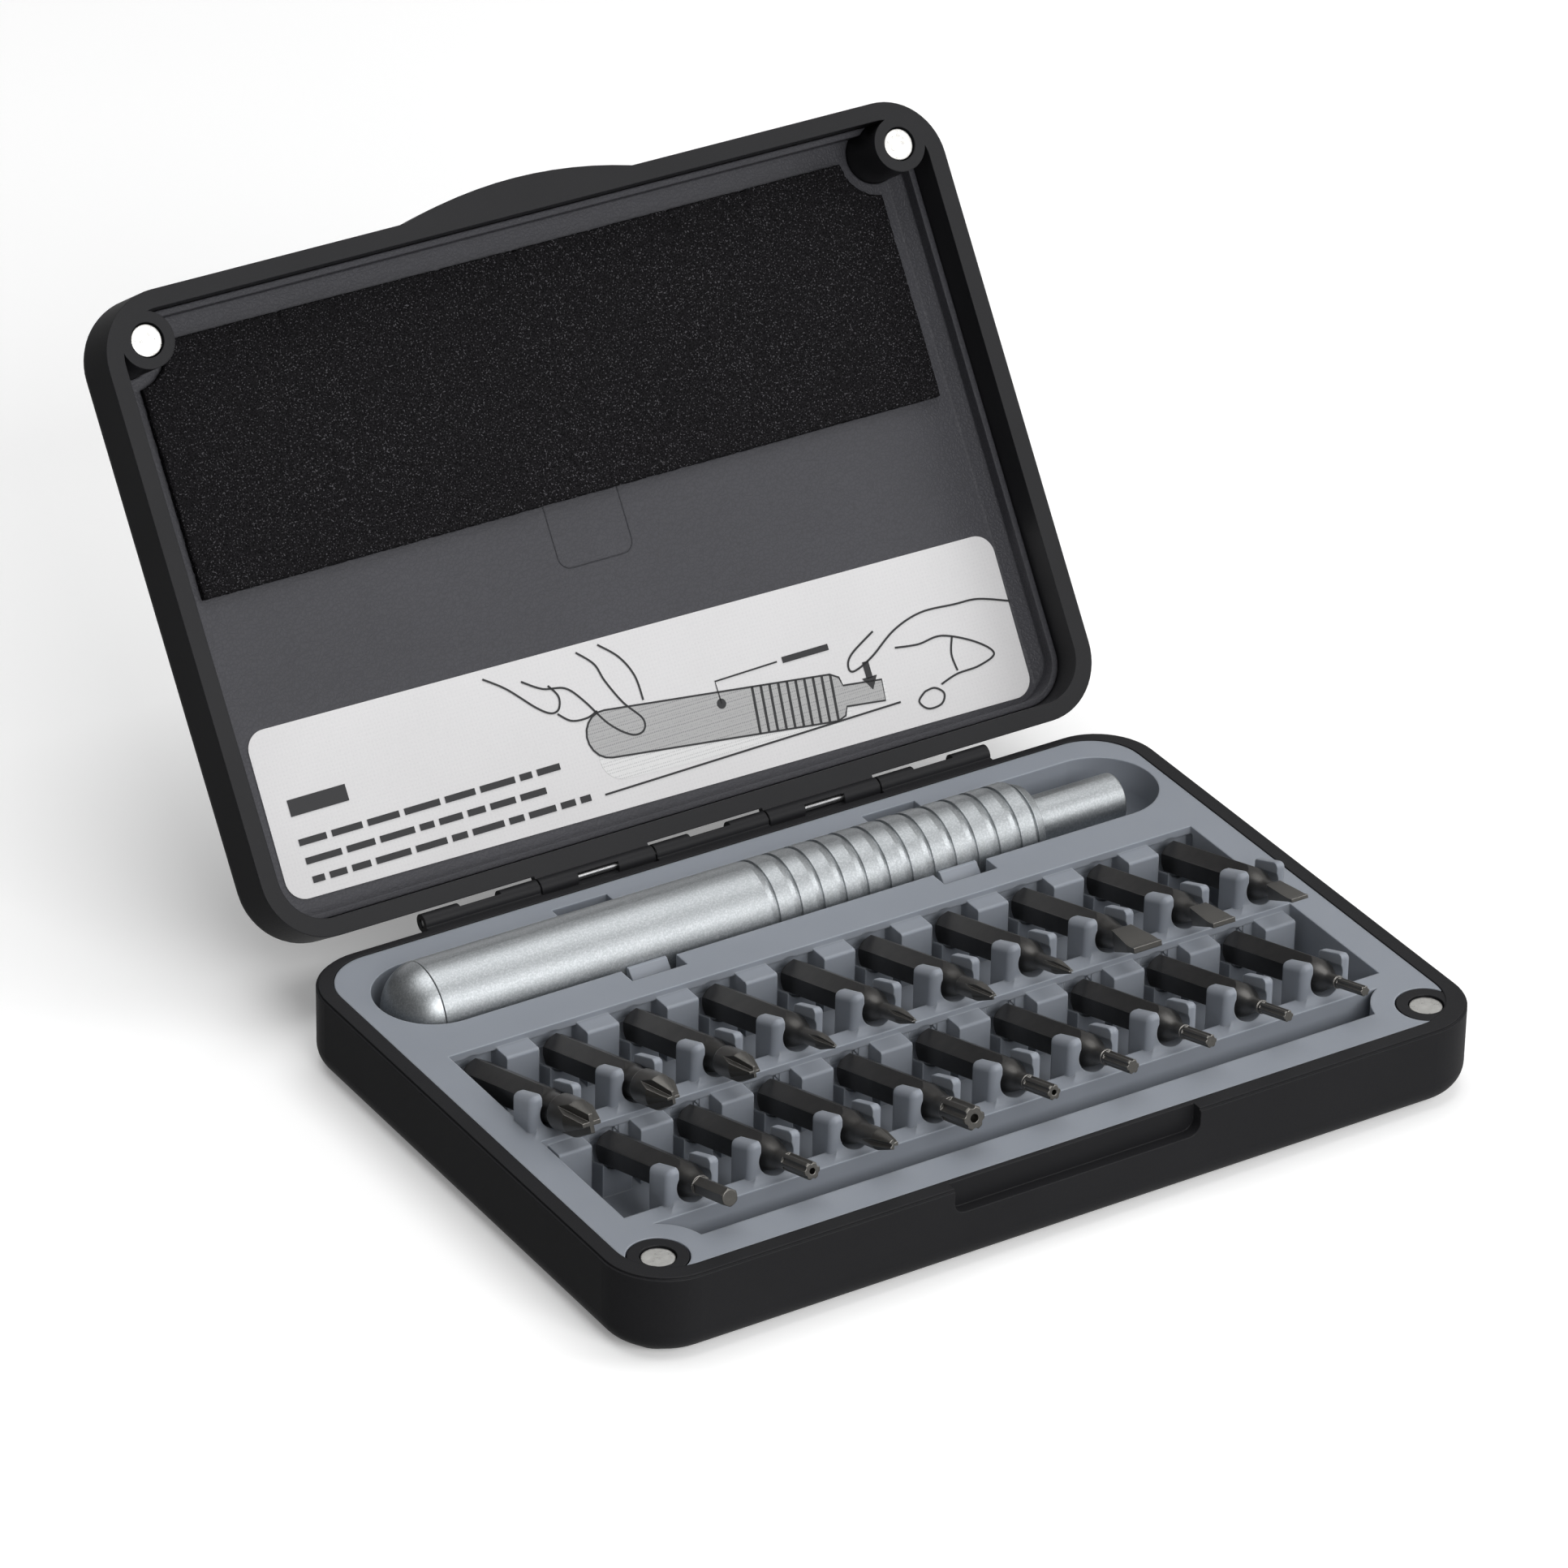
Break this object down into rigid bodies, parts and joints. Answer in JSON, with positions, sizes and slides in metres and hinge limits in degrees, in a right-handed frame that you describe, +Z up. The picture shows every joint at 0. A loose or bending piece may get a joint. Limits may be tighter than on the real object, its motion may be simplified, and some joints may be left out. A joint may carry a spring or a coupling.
{
  "type": "precision screwdriver set",
  "caption": "Hinged pocket case with magnetic closure, a tray of small driver bits, and a slim metal handle with a swivel cap and hexagonal bit socket.",
  "frame": {"origin": "centre of the case's flat underside", "axes": "+X along the hinge to the right, -Y to the front where the lid opens, +Z up"},
  "size_m": [0.12, 0.1364, 0.0818],
  "materials": {
    "shell_black": "fine matte texture",
    "tray_grey": "satin, slightly translucent",
    "liner_grey": "leather-grain texture",
    "foam_black": "open-cell foam",
    "label_silver": "fine silver film",
    "magnet_nickel": "plated",
    "pin_steel": "bright drawn",
    "handle_aluminium": "bead-blasted and anodised",
    "socket_steel": "turned",
    "bit_steel": "dark hardened, bright at the tips"
  },
  "bodies": {
    "base": {"base_shell": "shell_black", "tray": "tray_grey", "hinge_pin": "pin_steel", "base_magnet_left": "magnet_nickel", "base_magnet_right": "magnet_nickel"},
    "lid": {"lid_shell": "shell_black", "lid_liner": "liner_grey", "foam_pad": "foam_black", "label": "label_silver", "lid_magnet_left": "magnet_nickel", "lid_magnet_right": "magnet_nickel"},
    "handle": {"handle_body": "handle_aluminium", "bit_socket": "socket_steel", "socket_magnet": "magnet_nickel"},
    "swivel_cap": {"tail_cap": "handle_aluminium", "tail_snap_ring": "pin_steel"},
    "bit_cross_extra_large": {"bit_cross_extra_large": "bit_steel"},
    "bit_cross_large": {"bit_cross_large": "bit_steel"},
    "bit_cross_medium": {"bit_cross_medium": "bit_steel"},
    "bit_cross_fine_a": {"bit_cross_fine_a": "bit_steel"},
    "bit_cross_small": {"bit_cross_small": "bit_steel"},
    "bit_cross_small_wide": {"bit_cross_small_wide": "bit_steel"},
    "bit_cross_fine_b": {"bit_cross_fine_b": "bit_steel"},
    "bit_slotted_wide": {"bit_slotted_wide": "bit_steel"},
    "bit_slotted_medium": {"bit_slotted_medium": "bit_steel"},
    "bit_slotted_narrow": {"bit_slotted_narrow": "bit_steel"},
    "bit_hexagon": {"bit_hexagon": "bit_steel"},
    "bit_star_bored_medium": {"bit_star_bored_medium": "bit_steel"},
    "bit_three_wing": {"bit_three_wing": "bit_steel"},
    "bit_star_bored_large": {"bit_star_bored_large": "bit_steel"},
    "bit_star_bored_small": {"bit_star_bored_small": "bit_steel"},
    "bit_star_medium": {"bit_star_medium": "bit_steel"},
    "bit_star_small": {"bit_star_small": "bit_steel"},
    "bit_star_fine": {"bit_star_fine": "bit_steel"},
    "bit_star_extra_fine": {"bit_star_extra_fine": "bit_steel"}
  },
  "joints": [
    {"name": "lid_hinge", "type": "hinge", "parent": "base", "child": "lid", "pos_m": [0, 0.04225, 0.01125], "axis": [-1, 0, 0], "range_deg": [-124, 0]},
    {"name": "handle_lift", "type": "slide", "parent": "base", "child": "handle", "axis": [0, 0, 1], "range_m": [0, 0.04]},
    {"name": "cap_spin", "type": "hinge", "parent": "handle", "child": "swivel_cap", "pos_m": [-0.047, 0.02805, 0.0091], "axis": [1, 0, 0], "continuous": true},
    {"name": "bit_cross_extra_large_slide", "type": "slide", "parent": "base", "child": "bit_cross_extra_large", "axis": [0, -0.9588, 0.284], "range_m": [0, 0.03]},
    {"name": "bit_cross_large_slide", "type": "slide", "parent": "base", "child": "bit_cross_large", "axis": [0, -0.9588, 0.284], "range_m": [0, 0.03]},
    {"name": "bit_cross_medium_slide", "type": "slide", "parent": "base", "child": "bit_cross_medium", "axis": [0, -0.9588, 0.284], "range_m": [0, 0.03]},
    {"name": "bit_cross_fine_a_slide", "type": "slide", "parent": "base", "child": "bit_cross_fine_a", "axis": [0, -0.9588, 0.284], "range_m": [0, 0.03]},
    {"name": "bit_cross_small_slide", "type": "slide", "parent": "base", "child": "bit_cross_small", "axis": [0, -0.9588, 0.284], "range_m": [0, 0.03]},
    {"name": "bit_cross_small_wide_slide", "type": "slide", "parent": "base", "child": "bit_cross_small_wide", "axis": [0, -0.9588, 0.284], "range_m": [0, 0.03]},
    {"name": "bit_cross_fine_b_slide", "type": "slide", "parent": "base", "child": "bit_cross_fine_b", "axis": [0, -0.9588, 0.284], "range_m": [0, 0.03]},
    {"name": "bit_slotted_wide_slide", "type": "slide", "parent": "base", "child": "bit_slotted_wide", "axis": [0, -0.9588, 0.284], "range_m": [0, 0.03]},
    {"name": "bit_slotted_medium_slide", "type": "slide", "parent": "base", "child": "bit_slotted_medium", "axis": [0, -0.9588, 0.284], "range_m": [0, 0.03]},
    {"name": "bit_slotted_narrow_slide", "type": "slide", "parent": "base", "child": "bit_slotted_narrow", "axis": [0, -0.9588, 0.284], "range_m": [0, 0.03]},
    {"name": "bit_hexagon_slide", "type": "slide", "parent": "base", "child": "bit_hexagon", "axis": [0, -0.9588, 0.284], "range_m": [0, 0.03]},
    {"name": "bit_star_bored_medium_slide", "type": "slide", "parent": "base", "child": "bit_star_bored_medium", "axis": [0, -0.9588, 0.284], "range_m": [0, 0.03]},
    {"name": "bit_three_wing_slide", "type": "slide", "parent": "base", "child": "bit_three_wing", "axis": [0, -0.9588, 0.284], "range_m": [0, 0.03]},
    {"name": "bit_star_bored_large_slide", "type": "slide", "parent": "base", "child": "bit_star_bored_large", "axis": [0, -0.9588, 0.284], "range_m": [0, 0.03]},
    {"name": "bit_star_bored_small_slide", "type": "slide", "parent": "base", "child": "bit_star_bored_small", "axis": [0, -0.9588, 0.284], "range_m": [0, 0.03]},
    {"name": "bit_star_medium_slide", "type": "slide", "parent": "base", "child": "bit_star_medium", "axis": [0, -0.9588, 0.284], "range_m": [0, 0.03]},
    {"name": "bit_star_small_slide", "type": "slide", "parent": "base", "child": "bit_star_small", "axis": [0, -0.9588, 0.284], "range_m": [0, 0.03]},
    {"name": "bit_star_fine_slide", "type": "slide", "parent": "base", "child": "bit_star_fine", "axis": [0, -0.9588, 0.284], "range_m": [0, 0.03]},
    {"name": "bit_star_extra_fine_slide", "type": "slide", "parent": "base", "child": "bit_star_extra_fine", "axis": [0, -0.9588, 0.284], "range_m": [0, 0.03]}
  ]
}
